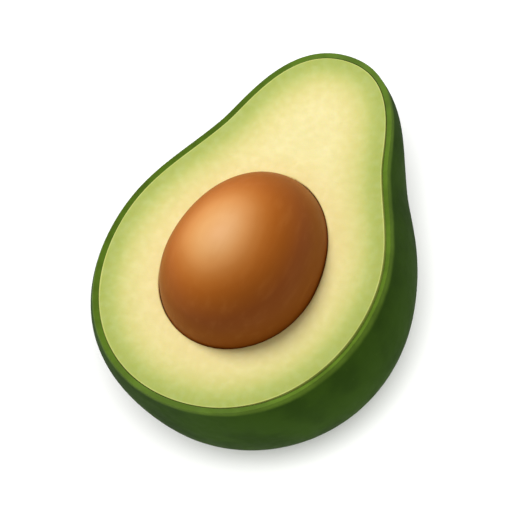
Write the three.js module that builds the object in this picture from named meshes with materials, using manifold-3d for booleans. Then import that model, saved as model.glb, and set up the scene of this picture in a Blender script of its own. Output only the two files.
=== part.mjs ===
// One half of a smooth-skinned green avocado, cut lengthways, with the pit still in it.
//
// It lies on its back with the cut face up and level. X runs across the cut face, Y along the
// fruit with +Y towards the neck, and Z up. Lengths are in millimetres. The origin is under the
// middle of the fruit, on the surface that it rests on.
//
// Three solids: the peel, the flesh that fills it, and the pit in its hollow.

import * as THREE from "three";
import { mergeVertices } from "three/addons/utils/BufferGeometryUtils.js";
import Module from "manifold-3d";

// ---------------------------------------------------------------- driving dimensions

const FRUIT_LENGTH = 108.5; // from the blunt end to the neck end
const FACE_WIDTH = 76.9; // across the cut face at its widest, peel included
const WIDEST_FROM_BLUNT_END = 41.5;
const NECK_WIDTH = 48.5; // across the cut face at the waist of the neck
const NECK_FROM_BLUNT_END = 80.6;
const NECK_TAPER = 0.446; // half-width lost for each millimetre along the neck
const BODY_DEPTH = 48.8; // cut face to the lowest point of the back, before it is pressed flat
const BELLY_BELOW_CUT = 14.5; // cut face to the level where the body is widest

const PEEL_THICKNESS = 1.4;
const REST_SPOT_DEPTH = 1.2; // how far the back is pressed flat where the fruit rests

const PIT_LENGTH = 52;
const PIT_WIDTH = 43;
const PIT_WIDEST_FROM_BLUNT_END = 22.9; // on the pit itself
const PIT_FROM_BLUNT_END = 18.3; // blunt end of the fruit to blunt end of the pit
const PIT_AXIS_BELOW_CUT = 2.9;

const CLEARANCE = 0.3; // kept between pieces that touch

// How full each stretch of the outline is: the length of a curve's handle as a share of its span.
const BLUNT_END_FULLNESS = 0.59;
const BELLY_FULLNESS = 0.554;
const SHOULDER_FULLNESS = 0.439;
const WAIST_FULLNESS = 0.364;
const NECK_FULLNESS = 0.256;
const TIP_FULLNESS = 0.738;

// How the depth follows the width along the fruit: 1 keeps them in step, and less keeps the back
// deep towards the two ends.
const BACK_FULLNESS = 0.6;

// Below the cut the flanks swell past the outline at the waist, and draw in towards the neck end.
// At their fullest they stand out by about 0.8 of the swell.
const WAIST_SWELL = 2.8;
const WAIST_SWELL_FROM_BLUNT_END = 72.2;
const WAIST_SWELL_REACH = 12.5;
const NECK_DRAW_IN = 1.75;
const NECK_DRAW_IN_FROM_BLUNT_END = 94.3;
const NECK_DRAW_IN_REACH = 12;

// Facets.
const FRUIT_SIDES = 48;
const STEPS_PER_STRETCH = 11;
const PIT_SIDES = 40;
const STEPS_PER_PIT_END = 10;

// ---------------------------------------------------------------- worked-out sizes

// Every ring of the fruit is an ellipse that the level cut takes the top off, so the belly
// spreads past the edge of the cut by the same share all along the fruit.
const BELLY_HALF_HEIGHT = BODY_DEPTH - BELLY_BELOW_CUT;
const CUT_RISE = BELLY_BELOW_CUT / BELLY_HALF_HEIGHT; // how far up every ring the cut comes
const BELLY_SPREAD = 1 / Math.sqrt(1 - CUT_RISE ** 2);
const BELLY_HALF_WIDTH = (FACE_WIDTH / 2) * BELLY_SPREAD;
const FACE_HEIGHT = BODY_DEPTH - REST_SPOT_DEPTH; // rest surface to cut face
const FRUIT_BLUNT_END_Y = -FRUIT_LENGTH / 2;

// ---------------------------------------------------------------- solids

const wasm = await Module();
wasm.setup();

// A closed geometry with its shared corners joined, so that only places are left.
function joined(geometry) {
  geometry.deleteAttribute("normal");
  geometry.deleteAttribute("uv");
  return mergeVertices(geometry);
}

function toSolid(geometry) {
  return new wasm.Manifold(
    new wasm.Mesh({
      numProp: 3,
      vertProperties: Float32Array.from(geometry.getAttribute("position").array),
      triVerts: Uint32Array.from(geometry.index.array),
    }),
  );
}

function toGeometry(solid) {
  const mesh = solid.getMesh();
  const geometry = new THREE.BufferGeometry();
  geometry.setAttribute("position", new THREE.BufferAttribute(mesh.vertProperties, 3));
  geometry.setIndex(new THREE.BufferAttribute(mesh.triVerts, 1));
  geometry.computeVertexNormals();
  return geometry;
}

// A copy of a closed geometry with its surface moved outwards, or inwards where negative.
function grown(geometry, distance) {
  const copy = geometry.clone();
  copy.computeVertexNormals();
  const places = copy.getAttribute("position");
  const normals = copy.getAttribute("normal");
  const place = new THREE.Vector3();
  const normal = new THREE.Vector3();
  for (let i = 0; i < places.count; i++) {
    place.fromBufferAttribute(places, i);
    normal.fromBufferAttribute(normals, i);
    place.addScaledVector(normal, distance);
    places.setXYZ(i, place.x, place.y, place.z);
  }
  return copy;
}

// ---------------------------------------------------------------- shapes

// Half of the fruit's outline on the cut face, from the blunt end to the neck end.
function faceOutline() {
  const widest = FACE_WIDTH / 2;
  const waist = NECK_WIDTH / 2;
  const widestY = FRUIT_BLUNT_END_Y + WIDEST_FROM_BLUNT_END;
  const waistY = FRUIT_BLUNT_END_Y + NECK_FROM_BLUNT_END;
  const neckEndY = FRUIT_BLUNT_END_Y + FRUIT_LENGTH;
  const shoulder = waistY - widestY;
  const neck = neckEndY - waistY;
  const alongNeck = new THREE.Vector2(-NECK_TAPER, 1).normalize();

  const outline = new THREE.Path();
  outline.moveTo(0, FRUIT_BLUNT_END_Y);
  outline.bezierCurveTo(
    widest * BLUNT_END_FULLNESS,
    FRUIT_BLUNT_END_Y,
    widest,
    widestY - WIDEST_FROM_BLUNT_END * BELLY_FULLNESS,
    widest,
    widestY,
  );
  outline.bezierCurveTo(
    widest,
    widestY + shoulder * SHOULDER_FULLNESS,
    waist - alongNeck.x * shoulder * WAIST_FULLNESS,
    waistY - alongNeck.y * shoulder * WAIST_FULLNESS,
    waist,
    waistY,
  );
  outline.bezierCurveTo(
    waist + alongNeck.x * neck * NECK_FULLNESS,
    waistY + alongNeck.y * neck * NECK_FULLNESS,
    waist * TIP_FULLNESS,
    neckEndY,
    0,
    neckEndY,
  );
  return outline.getPoints(STEPS_PER_STRETCH);
}

// How far the flanks stand out past their rings at a place along the fruit.
function swellAt(y) {
  const fromBluntEnd = y - FRUIT_BLUNT_END_Y;
  const fromWaist = (fromBluntEnd - WAIST_SWELL_FROM_BLUNT_END) / WAIST_SWELL_REACH;
  const fromNeck = (fromBluntEnd - NECK_DRAW_IN_FROM_BLUNT_END) / NECK_DRAW_IN_REACH;
  return WAIST_SWELL * Math.exp(-(fromWaist ** 2)) - NECK_DRAW_IN * Math.exp(-(fromNeck ** 2));
}

// The whole fruit before the cut, placed so that the cut is at the height of the cut face. It is
// turned round its length, and then each ring is made an ellipse and lowered so far that its cut
// is as wide as the outline, with its flanks swollen or drawn in below the cut.
function wholeFruit() {
  const rings = faceOutline().map(
    (point) => new THREE.Vector2(point.x * BELLY_SPREAD, point.y),
  );
  const fruit = joined(new THREE.LatheGeometry(rings, FRUIT_SIDES));
  const places = fruit.getAttribute("position");
  for (let i = 0; i < places.count; i++) {
    const radius = Math.hypot(places.getX(i), places.getZ(i));
    const rise = radius > 0 ? places.getZ(i) / radius : 0;
    const run = radius > 0 ? places.getX(i) / radius : 0;
    const standOut = swellAt(places.getY(i)) * (CUT_RISE - rise) * run;
    const depthShare = (radius / BELLY_HALF_WIDTH) ** BACK_FULLNESS;
    const aboveCut = depthShare * (rise * BELLY_HALF_HEIGHT - BELLY_BELOW_CUT);
    places.setX(i, places.getX(i) + standOut);
    places.setZ(i, FACE_HEIGHT + aboveCut);
  }
  return fruit;
}

// A block that spans the fruit between two heights, for flattening it below and cutting it above.
function blockBetween(low, high) {
  const block = new THREE.BoxGeometry(2 * FACE_WIDTH, 2 * FRUIT_LENGTH, high - low);
  block.translate(0, 0, (low + high) / 2);
  return toSolid(joined(block));
}

// The pit is egg-shaped, with its fuller end towards the fruit's blunt end.
function wholePit() {
  const radius = PIT_WIDTH / 2;
  const blunt = PIT_WIDEST_FROM_BLUNT_END;
  const narrow = PIT_LENGTH - PIT_WIDEST_FROM_BLUNT_END;
  const bluntEnd = new THREE.EllipseCurve(0, 0, radius, blunt, -Math.PI / 2, 0);
  const narrowEnd = new THREE.EllipseCurve(0, 0, radius, narrow, 0, Math.PI / 2);
  const outline = [
    new THREE.Vector2(0, -blunt),
    ...bluntEnd.getPoints(STEPS_PER_PIT_END).slice(1),
    ...narrowEnd.getPoints(STEPS_PER_PIT_END).slice(1, -1),
    new THREE.Vector2(0, narrow),
  ];
  const pit = joined(new THREE.LatheGeometry(outline, PIT_SIDES));
  const widestY = FRUIT_BLUNT_END_Y + PIT_FROM_BLUNT_END + PIT_WIDEST_FROM_BLUNT_END;
  pit.translate(0, widestY, FACE_HEIGHT - PIT_AXIS_BELOW_CUT);
  return pit;
}

// ---------------------------------------------------------------- pieces

const fruit = wholeFruit();
const pit = wholePit();

// The peel keeps its thickness over the rest spot, so its inside is flattened there too.
function peelHalf() {
  const inside = toSolid(grown(fruit, -PEEL_THICKNESS));
  const aboveRestSpot = blockBetween(PEEL_THICKNESS, FACE_HEIGHT + FACE_WIDTH);
  return toSolid(fruit)
    .subtract(inside.intersect(aboveRestSpot))
    .intersect(blockBetween(0, FACE_HEIGHT));
}

function fleshHalf() {
  const inset = PEEL_THICKNESS + CLEARANCE;
  const hollow = toSolid(grown(pit, CLEARANCE));
  return toSolid(grown(fruit, -inset))
    .intersect(blockBetween(inset, FACE_HEIGHT))
    .subtract(hollow);
}

function addPiece(group, name, geometry, finish) {
  const mesh = new THREE.Mesh(geometry, new THREE.MeshStandardMaterial(finish));
  mesh.name = name;
  group.add(mesh);
}

const avocado = new THREE.Group();
addPiece(avocado, "skin", toGeometry(peelHalf()), {
  color: 0x3d5423,
  roughness: 0.45,
  metalness: 0,
});
addPiece(avocado, "flesh", toGeometry(fleshHalf()), {
  color: 0xe6dc92,
  roughness: 0.5,
  metalness: 0,
});
addPiece(avocado, "pit", toGeometry(toSolid(pit)), {
  color: 0x9c5d24,
  roughness: 0.3,
  metalness: 0,
});

export default avocado;
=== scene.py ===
"""Half of a smooth-skinned green avocado with its pit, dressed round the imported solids.

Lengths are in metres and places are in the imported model's frame: X runs across the cut face,
Y along the fruit with +Y towards the neck, and Z up from the floor.
"""

import logging
import math
from collections.abc import Callable, Iterable
from dataclasses import dataclass, field
from enum import Enum

import bmesh
import bpy
import numpy as np
from mathutils import Matrix, Vector, noise


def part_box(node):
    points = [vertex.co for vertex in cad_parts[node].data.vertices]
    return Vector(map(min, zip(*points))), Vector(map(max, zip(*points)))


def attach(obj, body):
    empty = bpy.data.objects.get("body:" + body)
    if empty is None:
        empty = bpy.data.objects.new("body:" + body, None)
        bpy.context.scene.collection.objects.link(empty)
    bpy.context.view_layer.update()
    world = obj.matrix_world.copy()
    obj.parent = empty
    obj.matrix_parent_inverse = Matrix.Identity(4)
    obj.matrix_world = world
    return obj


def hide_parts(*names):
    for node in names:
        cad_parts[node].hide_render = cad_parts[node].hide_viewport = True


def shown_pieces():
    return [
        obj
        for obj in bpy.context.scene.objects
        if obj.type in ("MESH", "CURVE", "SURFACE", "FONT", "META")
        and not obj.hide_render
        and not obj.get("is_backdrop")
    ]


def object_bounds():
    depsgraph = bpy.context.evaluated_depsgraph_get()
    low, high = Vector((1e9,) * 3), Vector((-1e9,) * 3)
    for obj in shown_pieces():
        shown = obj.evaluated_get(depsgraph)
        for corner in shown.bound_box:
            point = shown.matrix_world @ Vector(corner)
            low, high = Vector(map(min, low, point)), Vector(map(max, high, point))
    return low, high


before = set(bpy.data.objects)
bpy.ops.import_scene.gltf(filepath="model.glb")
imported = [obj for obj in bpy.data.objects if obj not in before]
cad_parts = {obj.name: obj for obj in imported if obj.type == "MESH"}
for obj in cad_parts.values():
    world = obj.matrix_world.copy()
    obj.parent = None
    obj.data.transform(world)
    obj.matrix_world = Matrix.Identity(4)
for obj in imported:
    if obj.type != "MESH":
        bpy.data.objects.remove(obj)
CAD_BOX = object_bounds()

MM = 0.001
BODY = "root"
RIND_DISTANCE = "rind_distance"  # float attribute: millimetres in over the cut face
WELD = 1e-7  # places closer than this are one place
ON_LEVEL = 1e-6  # how close to a level counts as on it
CREASE = math.radians(50)  # an edge sharper than this stays sharp

# The part of a noise's range over which a pattern goes from none to full.
SOFT = (0.3, 0.7)
PATCHY = (0.35, 0.65)

log = logging.getLogger("avocado")

Colour = tuple[float, float, float, float]


class Slot(Enum):
    """The record's material slots."""

    SKIN = "skin"
    FLESH = "flesh"
    PIT = "pit"


def shade(red: int, green: int, blue: int) -> Colour:
    """Turns a colour as a paint chart gives it, 0 to 255, into a linear one.

    Args:
        red: Red, 0 to 255.
        green: Green, 0 to 255.
        blue: Blue, 0 to 255.

    Returns:
        The linear colour with full alpha.
    """
    parts = []
    for value in (red, green, blue):
        share = value / 255
        parts.append(share / 12.92 if share <= 0.04045 else ((share + 0.055) / 1.055) ** 2.4)
    return (parts[0], parts[1], parts[2], 1.0)


# ---------------------------------------- bench


@dataclass
class Workpiece:
    """One mesh on the bench, worked in edit mode as by hand."""

    piece: bpy.types.Object

    @classmethod
    def from_ball(
        cls, name: str, centre: Vector, radius: float, segments: int, rings: int, lying: bool
    ) -> "Workpiece":
        """Starts a piece from a ball.

        Args:
            name: The piece's name.
            centre: The ball's centre.
            radius: The ball's radius.
            segments: Faces round the ball.
            rings: Rings of faces from pole to pole.
            lying: True to lay the poles along Y, False to leave them upright.

        Returns:
            The new piece, with its place in its mesh.
        """
        bpy.ops.object.select_all(action="DESELECT")
        turn = (math.pi / 2, 0.0, 0.0) if lying else (0.0, 0.0, 0.0)
        bpy.ops.mesh.primitive_uv_sphere_add(
            segments=segments, ring_count=rings, radius=radius, location=centre, rotation=turn
        )
        piece = bpy.context.object
        piece.name = name
        piece.data.name = name
        bpy.ops.object.transform_apply(location=True, rotation=True, scale=True)
        return cls(piece)

    def take_up(self) -> None:
        """Makes the piece active, and the only one selected."""
        bpy.ops.object.select_all(action="DESELECT")
        self.piece.select_set(True)
        bpy.context.view_layer.objects.active = self.piece

    def edit(self) -> None:
        """Opens the piece alone in edit mode with nothing selected."""
        self.take_up()
        bpy.ops.object.mode_set(mode="EDIT")
        bpy.ops.mesh.select_mode(type="VERT")
        bpy.ops.mesh.select_all(action="DESELECT")

    def leave(self) -> None:
        """Goes back to object mode."""
        bpy.ops.object.mode_set(mode="OBJECT")

    def pick(self, wanted: np.ndarray) -> None:
        """Selects some of the vertices, and nothing else.

        Args:
            wanted: True for each vertex to select.
        """
        bpy.ops.mesh.select_all(action="DESELECT")
        mesh = bmesh.from_edit_mesh(self.piece.data)
        for vertex, chosen in zip(mesh.verts, wanted):
            vertex.select = bool(chosen)
        mesh.select_flush_mode()
        bmesh.update_edit_mesh(self.piece.data)

    def pick_open_edge(self) -> None:
        """Selects the edges that only one face uses."""
        bpy.ops.mesh.select_all(action="DESELECT")
        bpy.ops.mesh.select_non_manifold(
            extend=False,
            use_wire=False,
            use_boundary=True,
            use_multi_face=False,
            use_non_contiguous=False,
            use_verts=False,
        )

    def cut_away_above(self, height: float) -> None:
        """Cuts the piece level and takes the upper part away, leaving it open there.

        Args:
            height: The height of the cut.
        """
        self.edit()
        bpy.ops.mesh.select_all(action="SELECT")
        bpy.ops.mesh.bisect(
            plane_co=(0, 0, height), plane_no=(0, 0, 1), clear_outer=True, threshold=WELD
        )
        self.leave()

    def extend_edge(self, place: Callable[[np.ndarray], np.ndarray]) -> None:
        """Extrudes the open edge once and places the new loop.

        Args:
            place: Gives the new loop's places from those of the old one.
        """
        self.edit()
        self.pick_open_edge()
        bpy.ops.mesh.extrude_edges_move()
        self.leave()
        chosen = self.selected()
        places = self.places()
        places[chosen] = place(places[chosen])
        self.set_places(places)

    def close_edge(self) -> None:
        """Draws the open edge together into one point."""
        self.edit()
        self.pick_open_edge()
        bpy.ops.mesh.merge(type="CENTER")
        self.leave()

    def read(self, name: str) -> np.ndarray:
        """Returns a vector that every vertex has, one row each."""
        flat = np.empty(len(self.piece.data.vertices) * 3)
        self.piece.data.vertices.foreach_get(name, flat)
        return flat.reshape(-1, 3)

    def places(self) -> np.ndarray:
        """Returns every vertex's place, one row each."""
        return self.read("co")

    def normals(self) -> np.ndarray:
        """Returns every vertex's normal, one row each."""
        return self.read("normal")

    def selected(self) -> np.ndarray:
        """Returns which vertices are selected."""
        flags = np.empty(len(self.piece.data.vertices), dtype=bool)
        self.piece.data.vertices.foreach_get("select", flags)
        return flags

    def set_places(self, places: np.ndarray) -> None:
        """Moves every vertex.

        Args:
            places: The new places, one row each.
        """
        self.piece.data.vertices.foreach_set("co", places.ravel())
        self.piece.data.update()

    def apply(self, kind: str, **settings: object) -> None:
        """Adds a modifier and applies it.

        Args:
            kind: Blender's name for the modifier type.
            **settings: The modifier's settings.
        """
        self.take_up()
        modifier = self.piece.modifiers.new(kind.title(), kind)
        for setting, value in settings.items():
            setattr(modifier, setting, value)
        bpy.ops.object.modifier_apply(modifier=modifier.name)

    def face_outwards(self) -> None:
        """Merges doubles and turns every face outwards."""
        self.edit()
        bpy.ops.mesh.select_all(action="SELECT")
        bpy.ops.mesh.remove_doubles(threshold=WELD)
        bpy.ops.mesh.normals_make_consistent(inside=False)
        self.leave()

    def smooth(self) -> None:
        """Shades the whole piece smooth, apart from its sharp edges."""
        self.take_up()
        bpy.ops.object.shade_smooth_by_angle(angle=CREASE)

    def finish(self, slot: Slot, material: bpy.types.Material, *nodes: str) -> None:
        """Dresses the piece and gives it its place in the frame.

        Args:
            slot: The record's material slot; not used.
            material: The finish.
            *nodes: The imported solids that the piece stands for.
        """
        self.piece.data.materials.clear()
        self.piece.data.materials.append(material)
        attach(self.piece, BODY)
        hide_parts(*nodes)
        log.info(
            "%s: %d faces, finish %s", self.piece.name, len(self.piece.data.polygons), material.name
        )


def unevenness(places: np.ndarray, grain: float, seed: float) -> np.ndarray:
    """Gives a smooth random height for each place.

    Args:
        places: The places, one row each.
        grain: The size of one swell.
        seed: Which pattern to take.

    Returns:
        Heights of about -1 to 1, one each.
    """
    offset = Vector((seed, -seed, seed * 0.5))
    return np.array([noise.noise(Vector(place) / grain + offset) for place in places])


# ---------------------------------------- shape


@dataclass(frozen=True)
class FruitForm:
    """The fruit's shape: its outline on the cut face, and rings that follow it below."""

    blunt_end: float
    neck_end: float
    face_height: float
    belly_half_width: float
    widest_from_blunt_end: float = 41.5 * MM
    neck_width: float = 48.5 * MM
    neck_from_blunt_end: float = 80.6 * MM
    neck_taper: float = 0.446
    belly_below_cut: float = 14.5 * MM
    rest_spot_depth: float = 1.2 * MM
    rest_spot_edge: float = 0.25 * MM
    back_fullness: float = 0.6
    waist_swell: float = 2.8 * MM
    waist_swell_from_blunt_end: float = 72.2 * MM
    waist_swell_reach: float = 12.5 * MM
    neck_draw_in: float = 1.75 * MM
    neck_draw_in_from_blunt_end: float = 94.3 * MM
    neck_draw_in_reach: float = 12 * MM
    swell_fades_within: float = 6 * MM
    blunt_end_fullness: float = 0.59
    belly_fullness: float = 0.554
    shoulder_fullness: float = 0.439
    waist_fullness: float = 0.364
    neck_fullness: float = 0.256
    tip_fullness: float = 0.738
    steps: int = 400

    @property
    def belly_half_height(self) -> float:
        """Half the height of the widest ring before the cut."""
        return self.face_height + self.rest_spot_depth - self.belly_below_cut

    @property
    def cut_angle(self) -> float:
        """How far up each ring the level cut meets it, in radians."""
        return math.asin(self.belly_below_cut / self.belly_half_height)

    @property
    def half_width(self) -> float:
        """Half the width of the cut face at its widest."""
        return self.belly_half_width * math.cos(self.cut_angle)

    @property
    def widest_y(self) -> float:
        """Where along the fruit the cut face is widest."""
        return self.blunt_end + self.widest_from_blunt_end

    def outline(self) -> np.ndarray:
        """Draws half of the outline on the cut face.

        Returns:
            Rows of half-width and place along the fruit, from the blunt end to the neck end.
        """
        widest, widest_y = self.half_width, self.widest_y
        waist, waist_y = self.neck_width / 2, self.blunt_end + self.neck_from_blunt_end
        shoulder, neck = waist_y - widest_y, self.neck_end - waist_y
        along = np.array([-self.neck_taper, 1.0]) / math.hypot(self.neck_taper, 1.0)
        waist_point = np.array([waist, waist_y])
        stretches = (
            (
                (0.0, self.blunt_end),
                (widest * self.blunt_end_fullness, self.blunt_end),
                (widest, widest_y - self.widest_from_blunt_end * self.belly_fullness),
                (widest, widest_y),
            ),
            (
                (widest, widest_y),
                (widest, widest_y + shoulder * self.shoulder_fullness),
                waist_point - along * shoulder * self.waist_fullness,
                waist_point,
            ),
            (
                waist_point,
                waist_point + along * neck * self.neck_fullness,
                (waist * self.tip_fullness, self.neck_end),
                (0.0, self.neck_end),
            ),
        )
        t = np.linspace(0, 1, self.steps)[:, None]
        drawn = []
        for stretch in stretches:
            a, b, c, d = (np.asarray(point, float)[None, :] for point in stretch)
            drawn.append(
                a * (1 - t) ** 3 + 3 * b * t * (1 - t) ** 2 + 3 * c * t**2 * (1 - t) + d * t**3
            )
        return np.vstack([drawn[0], drawn[1][1:], drawn[2][1:]])

    def closed_outline(self) -> np.ndarray:
        """Returns the whole outline on the cut face as rows of X and Y, once round."""
        half = self.outline()
        other = half[-2:0:-1] * np.array([-1.0, 1.0])
        return np.vstack([half, other])

    def along(self, share: np.ndarray, towards_neck: np.ndarray) -> np.ndarray:
        """Finds where along the fruit a ring has a share of the full depth.

        Args:
            share: Each ring's depth as a share of the deepest.
            towards_neck: True for a ring on the neck side of the deepest.

        Returns:
            Each ring's place along the fruit.
        """
        half = self.outline()
        shares = (half[:, 0] / self.half_width) ** self.back_fullness
        deepest = int(np.argmax(half[:, 0]))
        blunt = np.interp(share, shares[: deepest + 1], half[: deepest + 1, 1])
        neck = np.interp(share, shares[deepest:][::-1], half[deepest:, 1][::-1])
        return np.where(towards_neck, neck, blunt)

    def swell_at(self, y: np.ndarray) -> np.ndarray:
        """Gives how far the flanks stand out past their rings at places along the fruit.

        Args:
            y: The places along the fruit.

        Returns:
            The swell at each place.
        """
        along = y - self.blunt_end
        from_waist = (along - self.waist_swell_from_blunt_end) / self.waist_swell_reach
        from_neck = (along - self.neck_draw_in_from_blunt_end) / self.neck_draw_in_reach
        swell = self.waist_swell * np.exp(-(from_waist**2))
        return swell - self.neck_draw_in * np.exp(-(from_neck**2))

    def surface(self, ball: np.ndarray) -> np.ndarray:
        """Turns the lower half of a ball of radius 1 into the fruit's back.

        Args:
            ball: Places on the half ball, one row each.

        Returns:
            The same points on the fruit, one row each.
        """
        across, lengthways, up = ball.T
        share = np.clip(np.hypot(across, up), 0, 1)
        half_width = self.belly_half_width * share ** (1 / self.back_fullness)
        turn = np.arctan2(np.maximum(-up, 0), across) / math.pi
        angle = self.cut_angle - turn * (math.pi + 2 * self.cut_angle)
        y = self.along(share, lengthways > 0)
        stand_out = self.swell_at(y) * (math.sin(self.cut_angle) - np.sin(angle))
        stand_out *= np.clip(half_width / self.swell_fades_within, 0, 1)
        x = (half_width + stand_out) * np.cos(angle)
        lift = self.belly_half_height * np.sin(angle) - self.belly_below_cut
        return np.stack([x, y, self.face_height + share * lift], axis=1)

    def rest(self, places: np.ndarray, floor: float) -> np.ndarray:
        """Presses the back flat where it would go below a level, with a soft edge.

        Args:
            places: Places on the back, one row each.
            floor: The level that the flat spot lies at.

        Returns:
            The pressed places.
        """
        edge = self.rest_spot_edge
        height = places[:, 2] - floor
        deepest = -self.rest_spot_depth
        soft = (height + np.sqrt(height**2 + edge**2)) / 2
        lowest = (deepest + math.sqrt(deepest**2 + edge**2)) / 2
        pressed = places.copy()
        pressed[:, 2] = floor + np.maximum(soft - lowest, 0)
        return pressed

    def inset(self, places: np.ndarray, distance: float) -> np.ndarray:
        """Moves places on the outline straight in over the cut face.

        Args:
            places: Places on the outline, one row each.
            distance: How far in.

        Returns:
            The moved places, at the height of the cut face.
        """
        outline = self.closed_outline()
        ahead, behind = np.roll(outline, -1, axis=0), np.roll(outline, 1, axis=0)
        direction = ahead - behind
        inward = np.stack([-direction[:, 1], direction[:, 0]], axis=1)
        inward /= np.linalg.norm(inward, axis=1)[:, None]
        near = self.nearest(places[:, :2], outline)[1]
        moved = places.copy()
        moved[:, :2] = places[:, :2] + inward[near] * distance
        moved[:, 2] = self.face_height
        return moved

    @staticmethod
    def nearest(points: np.ndarray, line: np.ndarray) -> tuple[np.ndarray, np.ndarray]:
        """Finds the point of a dense line that is nearest to each point.

        Args:
            points: Rows of X and Y.
            line: Rows of X and Y.

        Returns:
            The distances, and the numbers of the line's points.
        """
        distances = np.empty(len(points))
        numbers = np.empty(len(points), dtype=int)
        for start in range(0, len(points), 2000):
            part = points[start : start + 2000]
            gaps = np.linalg.norm(part[:, None, :] - line[None, :, :], axis=2)
            numbers[start : start + 2000] = gaps.argmin(axis=1)
            distances[start : start + 2000] = gaps.min(axis=1)
        return distances, numbers


@dataclass(frozen=True)
class PitForm:
    """The pit's egg shape, with its fuller end towards the fruit's blunt end."""

    centre: Vector
    radius: float
    blunt_length: float
    narrow_length: float

    def surface(self, ball: np.ndarray, grown: float) -> np.ndarray:
        """Turns a ball of radius 1 into the pit, or a hollow round it.

        Args:
            ball: Places on the ball, one row each.
            grown: How far outside the pit.

        Returns:
            The same points on the egg, one row each.
        """
        lengths = np.where(ball[:, 1] < 0, self.blunt_length, self.narrow_length)
        across = np.full(len(ball), self.radius)
        sizes = np.stack([across, lengths, across], axis=1)
        return np.asarray(self.centre) + ball * (sizes + grown)

    def section(self, angles: np.ndarray, height: float, grown: float) -> np.ndarray:
        """Draws the egg's outline on a level.

        Args:
            angles: Directions from the centre, in radians from +X towards +Y.
            height: The level.
            grown: How far outside the pit.

        Returns:
            The outline's places in those directions, one row each.
        """
        radius = self.radius + grown
        rise = (height - self.centre.z) / radius
        level = math.sqrt(max(1 - rise**2, 0))
        lengths = np.where(np.sin(angles) < 0, self.blunt_length, self.narrow_length) + grown
        reach = level / np.sqrt((np.cos(angles) / radius) ** 2 + (np.sin(angles) / lengths) ** 2)
        x = self.centre.x + reach * np.cos(angles)
        y = self.centre.y + reach * np.sin(angles)
        return np.stack([x, y, np.full(len(angles), height)], axis=1)


# ---------------------------------------- finishes


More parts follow.
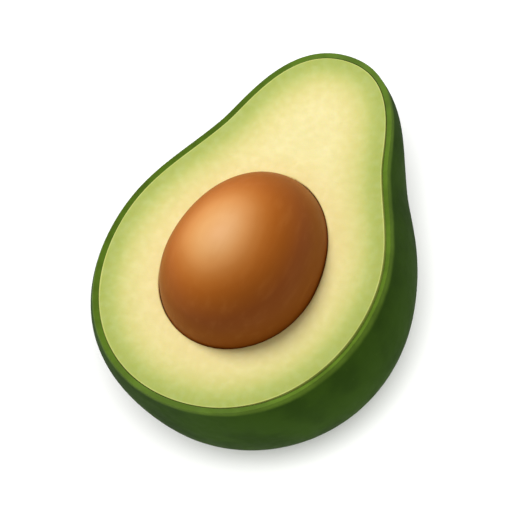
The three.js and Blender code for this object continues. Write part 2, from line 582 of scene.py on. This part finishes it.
class Wiring:
    """A material's nodes, with short ways to add and join them."""

    def __init__(self, name: str) -> None:
        """Starts a material with only a shader and an output.

        Args:
            name: The material's name.
        """
        self.material = bpy.data.materials.new(name)
        self.material.use_nodes = True
        self.tree = self.material.node_tree
        self.tree.nodes.clear()
        self.shader = self.add("ShaderNodeBsdfPrincipled")
        output = self.add("ShaderNodeOutputMaterial")
        self.join(self.shader.outputs["BSDF"], output.inputs["Surface"])
        self.place = self.add("ShaderNodeTexCoord").outputs["Object"]

    def add(self, kind: str, **settings: object) -> bpy.types.Node:
        """Adds a node.

        Args:
            kind: Blender's name for the node type.
            **settings: The node's own settings.

        Returns:
            The node.
        """
        node = self.tree.nodes.new(kind)
        for setting, value in settings.items():
            setattr(node, setting, value)
        return node

    def join(self, source: bpy.types.NodeSocket, target: bpy.types.NodeSocket) -> None:
        """Joins two sockets."""
        self.tree.links.new(source, target)

    def set(self, **values: object) -> None:
        """Sets the shader's own sockets, named with underscores for spaces."""
        for socket, value in values.items():
            self.shader.inputs[socket.replace("_", " ")].default_value = value

    def mapped(
        self, scale: tuple[float, float, float], shift: Iterable[float] = (0, 0, 0)
    ) -> bpy.types.NodeSocket:
        """Gives object coordinates scaled along each axis and then shifted.

        Args:
            scale: The scales.
            shift: The shift.

        Returns:
            The mapped coordinates.
        """
        mapping = self.add("ShaderNodeMapping")
        mapping.inputs["Scale"].default_value = scale
        mapping.inputs["Location"].default_value = shift
        self.join(self.place, mapping.inputs["Vector"])
        return mapping.outputs["Vector"]

    def centred(self, centre: Vector, scale: float) -> bpy.types.NodeSocket:
        """Gives object coordinates from a centre, scaled evenly."""
        return self.mapped((scale, scale, scale), centre * -scale)

    def noise(
        self, grain: float, detail: float = 3.0, scale: tuple[float, float, float] = (1, 1, 1)
    ) -> bpy.types.NodeSocket:
        """Gives a soft random pattern of 0 to 1.

        Args:
            grain: The size of one patch.
            detail: How many finer layers it has.
            scale: A stretch along each axis.

        Returns:
            The pattern.
        """
        texture = self.add("ShaderNodeTexNoise")
        texture.inputs["Scale"].default_value = 1 / grain
        texture.inputs["Detail"].default_value = detail
        self.join(self.mapped(scale), texture.inputs["Vector"])
        return texture.outputs["Fac"]

    def spread(
        self, value: bpy.types.NodeSocket, low: float, high: float, to: tuple[float, float] = (0, 1)
    ) -> bpy.types.NodeSocket:
        """Stretches part of a value's range over another range, with soft ends.

        Args:
            value: The value.
            low: What becomes the first end.
            high: What becomes the second end.
            to: The two ends.

        Returns:
            The stretched value.
        """
        node = self.add("ShaderNodeMapRange", interpolation_type="SMOOTHSTEP")
        self.join(value, node.inputs["Value"])
        for socket, number in zip(("From Min", "From Max", "To Min", "To Max"), (low, high, *to)):
            node.inputs[socket].default_value = number
        return node.outputs["Result"]

    def ramp(
        self, value: bpy.types.NodeSocket, stops: Iterable[tuple[float, Colour]]
    ) -> bpy.types.NodeSocket:
        """Turns a value into a colour.

        Args:
            value: The value.
            stops: Places from 0 to 1 with their colours.

        Returns:
            The colour.
        """
        node = self.add("ShaderNodeValToRGB")
        elements = node.color_ramp.elements
        for number, (place, colour) in enumerate(stops):
            element = elements[number] if number < 2 else elements.new(place)
            element.position = place
            element.color = colour
        self.join(value, node.inputs["Fac"])
        return node.outputs["Color"]

    def mix(
        self,
        share: bpy.types.NodeSocket | float,
        first: bpy.types.NodeSocket | Colour,
        second: bpy.types.NodeSocket | Colour,
    ) -> bpy.types.NodeSocket:
        """Mixes two colours.

        Args:
            share: How much of the second colour.
            first: The first colour.
            second: The second colour.

        Returns:
            The mixed colour.
        """
        node = self.add("ShaderNodeMix", data_type="RGBA")
        for number, value in ((0, share), (6, first), (7, second)):
            if isinstance(value, bpy.types.NodeSocket):
                self.join(value, node.inputs[number])
            else:
                node.inputs[number].default_value = value
        return node.outputs[2]

    def sum(self, *values: tuple[bpy.types.NodeSocket, float]) -> bpy.types.NodeSocket:
        """Adds up values, each with its weight.

        Args:
            *values: Pairs of value and weight.

        Returns:
            The sum.
        """
        total = None
        for value, weight in values:
            node = self.add("ShaderNodeMath", operation="MULTIPLY_ADD")
            self.join(value, node.inputs[0])
            node.inputs[1].default_value = weight
            node.inputs[2].default_value = 0.0
            if total is not None:
                self.join(total, node.inputs[2])
            total = node.outputs[0]
        return total

    def vary_roughness(self, patch: float, ends: tuple[float, float]) -> None:
        """Lets the roughness wander between two values, in patches of a size."""
        rough = self.spread(self.noise(patch, 4), *SOFT, ends)
        self.join(rough, self.shader.inputs["Roughness"])

    def bump(self, height: bpy.types.NodeSocket, depth: float) -> None:
        """Roughens the surface with a height pattern.

        Args:
            height: The pattern.
            depth: What a height of 1 stands for.
        """
        node = self.add("ShaderNodeBump")
        node.inputs["Distance"].default_value = depth
        self.join(height, node.inputs["Height"])
        self.join(node.outputs["Normal"], self.shader.inputs["Normal"])


@dataclass(frozen=True)
class PeelFinish:
    """Dark satin green skin, with a brighter green where the peel is cut through."""

    face_height: float
    cut_width: float
    dark: Colour = shade(47, 75, 9)
    light: Colour = shade(55, 85, 12)
    blotch_size: float = 11 * MM
    fleck: Colour = shade(80, 112, 36)
    fleck_share: float = 0.15
    fleck_spacing: float = 2.3 * MM
    fleck_radii: tuple[float, float] = (0.16, 0.05)  # where one starts, and where it is full
    fleck_height: float = 0.8  # next to a height of 1 for the grain
    cut: Colour = shade(88, 116, 33)
    cut_light: Colour = shade(99, 130, 38)
    cut_patch_size: float = 5 * MM
    inner_line: Colour = shade(66, 94, 22)
    inner_line_width: float = 0.22  # millimetres
    blend_from: float = 1.8 * MM
    blend_to: float = 0.45 * MM
    blend_wave: float = 0.4 * MM
    blend_wave_size: float = 6 * MM
    roughness: tuple[float, float] = (0.46, 0.56)
    roughness_patch: float = 3 * MM
    grain_size: float = 2.2 * MM
    grain_depth: float = 0.05 * MM

    def material(self) -> bpy.types.Material:
        """Makes the finish."""
        wiring = Wiring("peel_green")
        blotches = wiring.spread(wiring.noise(self.blotch_size, 4), *PATCHY)
        colour = wiring.mix(blotches, self.dark, self.light)
        flecks = wiring.add("ShaderNodeTexVoronoi", feature="F1")
        flecks.inputs["Scale"].default_value = 1 / self.fleck_spacing
        wiring.join(wiring.place, flecks.inputs["Vector"])
        fleck_share = wiring.spread(
            flecks.outputs["Distance"], *self.fleck_radii, (0, self.fleck_share)
        )
        colour = wiring.mix(fleck_share, colour, self.fleck)
        height = wiring.add("ShaderNodeSeparateXYZ")
        wiring.join(wiring.place, height.inputs[0])
        wave = wiring.noise(self.blend_wave_size, 2)
        wavy = wiring.sum((height.outputs["Z"], 1.0), (wave, self.blend_wave))
        low, high = self.face_height - self.blend_from, self.face_height - self.blend_to
        edge = wiring.spread(wavy, low, high)
        patches = wiring.spread(wiring.noise(self.cut_patch_size), *PATCHY)
        cut = wiring.mix(patches, self.cut, self.cut_light)
        inward = wiring.add("ShaderNodeAttribute", attribute_name=RIND_DISTANCE)
        width = self.cut_width / MM
        line = wiring.spread(inward.outputs["Fac"], width - self.inner_line_width, width)
        cut = wiring.mix(line, cut, self.inner_line)
        wiring.join(wiring.mix(edge, colour, cut), wiring.shader.inputs["Base Color"])
        wiring.vary_roughness(self.roughness_patch, self.roughness)
        wiring.set(IOR=1.12, Specular_IOR_Level=0.5)
        grain = wiring.noise(self.grain_size, 3)
        wiring.bump(wiring.sum((grain, 1.0), (fleck_share, self.fleck_height)), self.grain_depth)
        return wiring.material


@dataclass(frozen=True)
class FleshFinish:
    """Pale buttery flesh that turns green over the last few millimetres before the peel, with a
    painted highlight line at the peel and painted shade round the pit.
    """

    pit: PitForm
    ramp_length: float = 15.0  # millimetres
    ramp_wander: float = 0.02  # as a share of the ramp
    wander_size: float = 11 * MM
    mottle: Colour = shade(236, 214, 138)
    mottle_share: float = 0.06
    mottle_size: float = 4 * MM
    # Painted shade round the pit: a darker, warmer tone on the flesh next to the hollow, standing in
    # for the pit's shade and the warm light it bounces.
    painted_pit_shade: Colour = shade(240, 208, 124)
    painted_pit_shade_share: float = 0.3
    painted_pit_shade_reach: float = 1.34  # in pit radii
    roughness: tuple[float, float] = (0.42, 0.58)
    roughness_patch: float = 2 * MM
    grain_size: float = 1.3 * MM
    grain_depth: float = 0.03 * MM
    dimple_size: float = 7 * MM
    dimple_height: float = 2.0  # next to a height of 1 for the grain
    stops: tuple[tuple[float, Colour], ...] = (
        # The first stops draw a painted highlight: a thin pale line along the very edge of the flesh,
        # as if a lip there caught the light.
        (0.0, shade(216, 221, 122)),
        (0.14, shade(198, 206, 104)),
        (0.34, shade(173, 188, 81)),
        (1.7, shade(177, 190, 85)),
        (3.5, shade(190, 200, 99)),
        (5.4, shade(210, 211, 117)),
        (7.6, shade(226, 219, 133)),
        (10.5, shade(239, 227, 149)),
        (14.5, shade(247, 234, 164)),
    )

    def material(self) -> bpy.types.Material:
        """Makes the finish."""
        wiring = Wiring("flesh_butter")
        distance = wiring.add("ShaderNodeAttribute", attribute_name=RIND_DISTANCE)
        uneven = wiring.sum(
            (distance.outputs["Fac"], 1 / self.ramp_length),
            (wiring.noise(self.wander_size, 3), self.ramp_wander),
        )
        shifted = wiring.add("ShaderNodeMath", operation="SUBTRACT", use_clamp=True)
        wiring.join(uneven, shifted.inputs[0])
        shifted.inputs[1].default_value = self.ramp_wander / 2
        stops = [(place / self.ramp_length, colour) for place, colour in self.stops]
        colour = wiring.ramp(shifted.outputs[0], stops)
        mottled = wiring.spread(wiring.noise(self.mottle_size, 5), *SOFT, (0, self.mottle_share))
        colour = wiring.mix(mottled, colour, self.mottle)
        half_length = (self.pit.blunt_length + self.pit.narrow_length) / 2
        middle = self.pit.centre + Vector((0, half_length - self.pit.blunt_length, 0))
        away = wiring.add("ShaderNodeVectorMath", operation="MULTIPLY")
        wiring.join(wiring.centred(middle, 1 / self.pit.radius), away.inputs[0])
        away.inputs[1].default_value = (1, self.pit.radius / half_length, 1)
        reach = wiring.add("ShaderNodeVectorMath", operation="LENGTH")
        wiring.join(away.outputs[0], reach.inputs[0])
        # Painted shade: the flesh is tinted darker and warmer within a reach of the pit.
        painted_pit_shade_mask = wiring.spread(
            reach.outputs["Value"], self.painted_pit_shade_reach, 1.0, (0, self.painted_pit_shade_share)
        )
        colour = wiring.mix(painted_pit_shade_mask, colour, self.painted_pit_shade)
        wiring.join(colour, wiring.shader.inputs["Base Color"])
        wiring.vary_roughness(self.roughness_patch, self.roughness)
        wiring.set(IOR=1.38, Specular_IOR_Level=0.3, Subsurface_Weight=0.15)
        wiring.set(Subsurface_Radius=(1.0, 0.75, 0.3), Subsurface_Scale=1.2 * MM)
        grain, dimples = wiring.noise(self.grain_size, 4), wiring.noise(self.dimple_size, 2)
        wiring.bump(wiring.sum((grain, 1.0), (dimples, self.dimple_height)), self.grain_depth)
        return wiring.material


@dataclass(frozen=True)
class PitFinish:
    """Smooth brown seed coat with a soft gloss, and painted light on it: a painted highlight in tan
    over the top, leaning towards the key light, and painted shade in deeper brown down the sides.
    """

    centre: Vector
    radius: float
    # The seed's brown, darker at low values as painted shade and tan near 1 as a painted highlight,
    # by how far the surface faces the painted highlight's direction.
    stops: tuple[tuple[float, Colour], ...] = (
        (0.30, shade(158, 82, 6)),
        (0.50, shade(152, 76, 6)),
        (0.68, shade(164, 86, 8)),
        (0.78, shade(176, 95, 18)),
        (0.85, shade(189, 109, 34)),
        (0.90, shade(200, 124, 52)),
        (0.95, shade(217, 146, 76)),
        (1.0, shade(228, 166, 98)),
    )
    wave: float = 0.05
    wave_size: float = 15 * MM
    streak: Colour = shade(206, 130, 58)
    streak_share: float = 0.16
    streak_size: float = 2.4 * MM
    streak_scale: tuple[float, float, float] = (1.0, 0.16, 1.0)
    streak_range: tuple[float, float] = (0.45, 0.8)
    roughness: tuple[float, float] = (0.44, 0.50)
    roughness_patch: float = 4 * MM
    grain_size: float = 1.1 * MM
    grain_height: float = 0.4  # next to a height of 1 for the streaks
    grain_depth: float = 0.03 * MM
    # The direction that the painted highlight faces: from straight up, tilted towards the key light.
    painted_highlight_facing: Vector = field(default_factory=lambda: Vector((-0.15, 0.01, 0.985)))

    def material(self) -> bpy.types.Material:
        """Makes the finish."""
        wiring = Wiring("pit_brown")
        # How far the surface faces the painted highlight; this picks painted shade or painted
        # highlight from the ramp.
        side = wiring.add("ShaderNodeVectorMath", operation="DOT_PRODUCT")
        wiring.join(wiring.centred(self.centre, 1 / self.radius), side.inputs[0])
        side.inputs[1].default_value = self.painted_highlight_facing
        wave = wiring.noise(self.wave_size, 3)
        wavy = wiring.sum((side.outputs["Value"], 1.0), (wave, self.wave))
        colour = wiring.ramp(wavy, self.stops)
        streaks = wiring.noise(self.streak_size, 5, self.streak_scale)
        streaked = wiring.spread(streaks, *self.streak_range, (0, self.streak_share))
        colour = wiring.mix(streaked, colour, self.streak)
        wiring.join(colour, wiring.shader.inputs["Base Color"])
        wiring.vary_roughness(self.roughness_patch, self.roughness)
        wiring.set(IOR=1.28, Specular_IOR_Level=0.5)
        grain = wiring.noise(self.grain_size, 3)
        wiring.bump(wiring.sum((streaks, 1.0), (grain, self.grain_height)), self.grain_depth)
        return wiring.material


@dataclass(frozen=True)
class FloorFinish:
    """Plain white paper, bright enough to show only a soft shadow."""

    white: Colour = (0.86, 0.86, 0.85, 1.0)
    glow: float = 0.03

    def material(self) -> bpy.types.Material:
        """Makes the finish."""
        wiring = Wiring("floor_white")
        wiring.set(Base_Color=self.white, Roughness=1.0, Specular_IOR_Level=0.0)
        wiring.set(Emission_Color=(1, 1, 1, 1), Emission_Strength=self.glow)
        return wiring.material


# ---------------------------------------- pieces


def half_fruit(name: str, form: FruitForm, segments: int, rings: int) -> Workpiece:
    """Makes the outside of the back from half a ball, open at the cut.

    Args:
        name: The piece's name.
        form: The fruit's shape.
        segments: Faces round the ball.
        rings: Rings of faces on the whole ball.

    Returns:
        The open back.
    """
    centre = Vector((0, 0, form.face_height))
    half = Workpiece.from_ball(name, centre, form.belly_half_width, segments, rings, False)
    half.cut_away_above(form.face_height)
    ball = (half.places() - np.asarray(centre)) / form.belly_half_width
    half.set_places(form.surface(ball))
    return half


@dataclass
class Peel:
    """The peel: a thin shell with a soft shoulder where it is cut."""

    form: FruitForm
    thickness: float = 1.4 * MM
    cut_width: float = 1.62 * MM  # across the cut face
    shoulder: float = 0.8 * MM
    shoulder_steps: int = 5
    segments: int = 256
    rings: int = 128
    swell: float = 0.12 * MM
    swell_grain: float = 17 * MM
    swell_seed: float = 3.0
    swell_full_below: float = 12 * MM  # measured from the cut
    swell_draw_in: float = 0.3  # share of the swell that the whole back is drawn in

    def build(self) -> Workpiece:
        """Makes the peel.

        Returns:
            The finished mesh.
        """
        form = self.form
        peel = half_fruit("peel", form, self.segments, self.rings)
        outside = peel.places()
        depth = np.clip((form.face_height - outside[:, 2]) / self.swell_full_below, 0, 1)
        swells = unevenness(outside, self.swell_grain, self.swell_seed) * self.swell * depth
        inwards = np.minimum(swells, 0) - self.swell * depth * self.swell_draw_in
        peel.set_places(form.rest(outside + peel.normals() * inwards[:, None], 0.0))
        outer_count = len(outside)
        peel.apply("SOLIDIFY", thickness=self.thickness, offset=-1.0, use_rim=True)
        places = peel.places()
        at_cut = np.abs(places[:outer_count, 2] - form.face_height) < ON_LEVEL
        inner_edge = np.flatnonzero(at_cut) + outer_count
        places[inner_edge] = form.inset(places[:outer_count][at_cut], self.cut_width)
        peel.set_places(places)
        self.round_shoulder(peel)
        places = peel.places()
        inward = form.nearest(places[:, :2], form.closed_outline())[0] / MM
        inward[places[:, 2] < form.face_height - self.shoulder] = 0.0
        attribute = peel.piece.data.attributes.new(RIND_DISTANCE, "FLOAT", "POINT")
        attribute.data.foreach_set("value", inward)
        peel.smooth()
        return peel

    def round_shoulder(self, peel: Workpiece) -> None:
        """Rounds the outer edge of the cut.

        Args:
            peel: The shell with its rim level.
        """
        places = peel.places()
        on_edge = np.abs(places[:, 2] - self.form.face_height) < ON_LEVEL
        gaps = self.form.nearest(places[on_edge, :2], self.form.closed_outline())[0]
        on_edge[on_edge] = gaps < self.cut_width / 2
        peel.edit()
        peel.pick(on_edge)
        bpy.ops.mesh.bevel(
            offset=self.shoulder, segments=self.shoulder_steps, affect="EDGES", clamp_overlap=False
        )
        peel.leave()


@dataclass
class Flesh:
    """The flesh: a solid that fills the peel, with the pit's hollow in its level face."""

    form: FruitForm
    pit: PitForm
    behind_peel: float = 1.5 * MM
    edge_inset: float = 1.625 * MM
    edge_round: float = 0.03 * MM
    hollow_gap: float = 0.12 * MM
    lip: float = 0.35 * MM
    face_loops: int = 60
    loops_towards_ends: float = 0.11
    hollow_loops: int = 26
    segments: int = 256
    rings: int = 64
    lip_points: int = 1441
    swell: float = 0.10 * MM
    swell_grain: float = 10 * MM
    swell_seed: float = 7.0
    swell_draw_in: float = 0.4  # share of the swell that the whole face is drawn in
    calm_margin: float = 3 * MM  # where the swell fades towards the face's edges
    back_normal: float = 0.1  # the back's normals rise less than this
    back_depth: float = 0.3  # millimetres below the face where the back starts
    hollow_margin: float = 3 * MM
    hollow_narrowing: float = 0.75  # the pit's width as a share of its length, about

    def build(self) -> Workpiece:
        """Makes the flesh.

        Returns:
            The finished mesh, with each point's distance from the peel as an attribute.
        """
        form = self.form
        flesh = half_fruit("flesh_half", form, self.segments, self.rings)
        outside = flesh.places()
        at_cut = np.abs(outside[:, 2] - form.face_height) < ON_LEVEL
        moved = form.rest(outside - flesh.normals() * self.behind_peel, self.behind_peel)
        below_edge = form.face_height - 2 * self.edge_round
        moved[:, 2] = np.minimum(moved[:, 2], below_edge)
        moved[at_cut] = form.inset(outside[at_cut], self.edge_inset)
        moved[at_cut, 2] -= self.edge_round
        flesh.set_places(moved)
        self.lay_face(flesh)
        self.sink_hollow(flesh)
        flesh.face_outwards()
        self.measure_rind(flesh)
        flesh.smooth()
        return flesh

    def steps_over_face(self) -> np.ndarray:
        """Returns where each loop lies between the edge and the hollow, closer at both ends."""
        even = np.linspace(0, 1, self.face_loops + 1)[1:]
        return even - self.loops_towards_ends * np.sin(2 * math.pi * even)

    def lay_face(self, flesh: Workpiece) -> None:
        """Extrudes the face from its edge to the lip of the hollow, loop by loop.

        Args:
            flesh: The back of the flesh, open at the face.
        """
        lip_height = self.form.face_height - self.lip
        done = 0.0
        for step in self.steps_over_face():

            def place(loop: np.ndarray) -> np.ndarray:
                """Moves a loop to its share of the way to the lip."""
                away = loop - np.asarray(self.pit.centre)
                angles = np.arctan2(away[:, 1], away[:, 0])
                target = self.pit.section(angles, lip_height, self.hollow_gap)
                share = (step - done) / (1 - done)
                return loop + (target - loop) * share

            flesh.extend_edge(place)
            done = step
        self.level_face(flesh)

    def level_face(self, flesh: Workpiece) -> None:
        """Levels the face, with a soft edge at the peel and a rounded lip at the hollow.

        Args:
            flesh: The flesh with its face laid.
        """
        form = self.form
        places = flesh.places()
        face = places[:, 2] > form.face_height - self.lip - ON_LEVEL
        angles = np.linspace(-math.pi, math.pi, self.lip_points)
        lip_line = self.pit.section(angles, form.face_height - self.lip, self.hollow_gap)[:, :2]
        points = places[face]
        to_lip = form.nearest(points[:, :2], lip_line)[0]
        to_edge = form.nearest(points[:, :2], self.edge_line())[0]
        lip_drop = self.drop(to_lip, self.lip)
        edge_drop = self.drop(to_edge, self.edge_round)
        swells = unevenness(points, self.swell_grain, self.swell_seed) * self.swell
        calm = np.clip(np.minimum(to_lip, to_edge) / self.calm_margin, 0, 1)
        rise = (swells - self.swell * self.swell_draw_in) * calm
        points[:, 2] = form.face_height - lip_drop - edge_drop + rise
        places[face] = points
        flesh.set_places(places)

    @staticmethod
    def drop(distance: np.ndarray, radius: float) -> np.ndarray:
        """How far a rounded edge lies below the level it meets.

        Args:
            distance: How far in from the edge.
            radius: The radius of the rounding.

        Returns:
            The drop at each distance.
        """
        into = np.clip(1 - distance / radius, 0, 1)
        return radius * (1 - np.sqrt(1 - into**2))

    def sink_hollow(self, flesh: Workpiece) -> None:
        """Extrudes the lip down round the pit and closes it underneath.

        Args:
            flesh: The flesh with its face laid.
        """
        centre = np.asarray(self.pit.centre)
        radius = self.pit.radius + self.hollow_gap
        top = (self.form.face_height - self.lip - self.pit.centre.z) / radius
        angles_down = np.linspace(math.asin(top), -math.pi / 2, self.hollow_loops + 1)
        for down in angles_down[1:-1]:

            def place(loop: np.ndarray) -> np.ndarray:
                """Moves a loop down the wall of the hollow."""
                away = loop - centre
                angles = np.arctan2(away[:, 1], away[:, 0])
                height = centre[2] + radius * math.sin(down)
                return self.pit.section(angles, height, self.hollow_gap)

            flesh.extend_edge(place)
        flesh.close_edge()

    def edge_line(self) -> np.ndarray:
        """Returns the outline of the flesh on the cut face as rows of X and Y."""
        outline = self.form.closed_outline()
        level = np.c_[outline, np.zeros(len(outline))]
        return self.form.inset(level, self.edge_inset)[:, :2]

    def measure_rind(self, flesh: Workpiece) -> None:
        """Writes how far each point lies in from the edge of the flesh, in millimetres.

        Args:
            flesh: The finished mesh.
        """
        form = self.form
        places = flesh.places()
        distance = form.nearest(places[:, :2], self.edge_line())[0] / MM
        depth = np.clip(form.face_height - places[:, 2], 0, None) / MM
        at_back = (flesh.normals()[:, 2] < self.back_normal) & (depth > self.back_depth)
        reach = self.pit.radius + self.hollow_margin
        across, along, _ = ((places - np.asarray(self.pit.centre)) / reach).T
        in_hollow = (across**2 + (along * self.hollow_narrowing) ** 2) < 1
        distance[at_back & ~in_hollow] = 0.0
        attribute = flesh.piece.data.attributes.new(RIND_DISTANCE, "FLOAT", "POINT")
        attribute.data.foreach_set("value", distance)


@dataclass
class Pit:
    """The pit: an egg-shaped seed, very slightly uneven."""

    form: PitForm
    segments: int = 224
    rings: int = 144
    swell: float = 0.22 * MM
    swell_grain: float = 19 * MM
    swell_seed: float = 11.0

    def build(self) -> Workpiece:
        """Makes the pit.

        Returns:
            The finished mesh.
        """
        centre = self.form.centre
        radius = self.form.radius
        pit = Workpiece.from_ball("pit_seed", centre, radius, self.segments, self.rings, True)
        ball = (pit.places() - np.asarray(centre)) / radius
        egg = self.form.surface(ball, 0.0)
        pit.set_places(egg)
        swells = unevenness(egg, self.swell_grain, self.swell_seed) * 0.5 - 0.5
        pit.set_places(egg + pit.normals() * (swells * self.swell)[:, None])
        pit.smooth()
        return pit


# ---------------------------------------- studio


@dataclass
class Studio:
    """The floor, the lights and the camera."""

    aim: Vector = field(default_factory=lambda: Vector((2.104, -7.963, 47.6)) * MM)
    distance: float = 1.16152
    azimuth: float = 47.3983
    elevation: float = 58.8369
    roll: float = 24.8807
    lens: float = 316.406
    floor_size: float = 40.0
    key_direction: Vector = field(default_factory=lambda: Vector((-0.50, 0.37, 0.79)))
    key_distance: float = 1.3
    key_size: float = 0.55
    key_power: float = 14.0
    wash_direction: Vector = field(default_factory=lambda: Vector((0.291, -0.236, 0.927)))
    wash_distance: float = 1.0
    wash_spread: float = 0.72  # radians across
    wash_strength: float = 4.3
    surround: float = 0.34
    backdrop: float = 1.0

    def build(self) -> None:
        """Sets up everything that isn't part of the fruit."""
        self.lay_floor()
        self.hang_lights()
        self.set_surround()
        self.place_camera()
        scene = bpy.context.scene
        scene.view_settings.view_transform = "Standard"
        scene.view_settings.look = "None"
        log.info("studio: floor, key light, floor light, surround and camera")

    def lay_floor(self) -> None:
        """Lays the floor at the height that the fruit rests on."""
        bpy.ops.object.select_all(action="DESELECT")
        bpy.ops.mesh.primitive_plane_add(size=self.floor_size, location=(0, 0, CAD_BOX[0].z))
        floor = bpy.context.object
        floor.name = "floor"
        floor.visible_glossy = False
        bpy.ops.object.transform_apply(location=True, rotation=True, scale=True)
        floor.data.materials.append(FloorFinish().material())
        floor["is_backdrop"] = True

    def hang_lights(self) -> None:
        """Hangs a soft light for the fruit, and a far one that keeps the floor evenly white."""
        key = self.hang("AREA", "key_light", self.key_direction, self.key_distance)
        key.data.shape = "DISK"
        key.data.size = self.key_size
        key.data.energy = self.key_power
        wash = self.hang("SUN", "floor_wash", self.wash_direction, self.wash_distance)
        wash.data.angle = self.wash_spread
        wash.data.energy = self.wash_strength
        floor = bpy.data.objects["floor"]
        for light, name, lit in ((key, "lit_by_key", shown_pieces()), (wash, "lit_by_wash", [floor])):
            receivers = bpy.data.collections.new(name)
            for piece in lit:
                receivers.objects.link(piece)
            light.light_linking.receiver_collection = receivers

    def hang(self, kind: str, name: str, direction: Vector, distance: float) -> bpy.types.Object:
        """Hangs a light that faces the fruit.

        Args:
            kind: Blender's name for the kind of light.
            name: The light's name.
            direction: From the fruit to the light.
            distance: How far away.

        Returns:
            The light.
        """
        back = direction.normalized()
        bpy.ops.object.light_add(type=kind, location=self.aim + back * distance)
        light = bpy.context.object
        light.name = name
        light.rotation_euler = back.to_track_quat("Z", "Y").to_euler()
        return light

    def set_surround(self) -> None:
        """Sets the even light from all round, and the plain white seen behind everything."""
        world = bpy.data.worlds.new("surround")
        world.use_nodes = True
        nodes, links = world.node_tree.nodes, world.node_tree.links
        even, backdrop = nodes["Background"], nodes.new("ShaderNodeBackground")
        for background, strength in ((even, self.surround), (backdrop, self.backdrop)):
            background.inputs["Color"].default_value = (1.0, 1.0, 1.0, 1.0)
            background.inputs["Strength"].default_value = strength
        seen = nodes.new("ShaderNodeLightPath")
        either = nodes.new("ShaderNodeMixShader")
        links.new(seen.outputs["Is Camera Ray"], either.inputs["Fac"])
        links.new(even.outputs[0], either.inputs[1])
        links.new(backdrop.outputs[0], either.inputs[2])
        links.new(either.outputs[0], nodes["World Output"].inputs["Surface"])
        bpy.context.scene.world = world

    def place_camera(self) -> None:
        """Stands the camera where the fruit is seen from."""
        azimuth, elevation, roll = map(math.radians, (self.azimuth, self.elevation, self.roll))
        back = Vector(
            (
                math.sin(azimuth) * math.cos(elevation),
                -math.cos(azimuth) * math.cos(elevation),
                math.sin(elevation),
            )
        )
        level = Vector((0, 0, 1)).cross(back).normalized()
        upright = back.cross(level)
        up = upright * math.cos(roll) + level * math.sin(roll)
        right = up.cross(back)
        bpy.ops.object.camera_add(location=self.aim + back * self.distance)
        camera = bpy.context.object
        camera.name = "camera"
        camera.rotation_mode = "QUATERNION"
        camera.rotation_quaternion = Matrix((right, up, back)).transposed().to_quaternion()
        camera.data.lens = self.lens
        camera.data.sensor_width = 36.0
        camera.data.clip_start = 0.01
        camera.data.clip_end = 100.0
        bpy.context.scene.camera = camera


# ---------------------------------------- making


def write_sizes() -> None:
    """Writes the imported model's box and the visual model's box."""
    boxes = {"cad": CAD_BOX, "visual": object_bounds()}
    plain = {name: [list(low), list(high)] for name, (low, high) in boxes.items()}
    log.info("sizes: %s", plain)


def main() -> None:
    """Builds the fruit and its studio, piece by piece."""
    logging.basicConfig(level=logging.INFO, format="%(name)s %(message)s")
    skin_low, skin_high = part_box("skin")
    flesh_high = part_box("flesh")[1]
    pit_low, pit_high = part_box("pit")
    pit_radius = (pit_high.x - pit_low.x) / 2
    blunt_length = 22.9 * MM
    fruit = FruitForm(
        blunt_end=skin_low.y,
        neck_end=skin_high.y,
        face_height=flesh_high.z,
        belly_half_width=(skin_high.x - skin_low.x) / 2,
    )
    seed = PitForm(
        centre=Vector((0, pit_low.y + blunt_length, pit_high.z - pit_radius)),
        radius=pit_radius,
        blunt_length=blunt_length,
        narrow_length=pit_high.y - pit_low.y - blunt_length,
    )
    peel = Peel(fruit)
    peel_finish = PeelFinish(fruit.face_height, peel.cut_width)
    peel.build().finish(Slot.SKIN, peel_finish.material(), "skin")
    Flesh(fruit, seed).build().finish(Slot.FLESH, FleshFinish(seed).material(), "flesh")
    Pit(seed).build().finish(Slot.PIT, PitFinish(seed.centre, seed.radius).material(), "pit")
    Studio().build()
    write_sizes()


if __name__ == "__main__":
    main()
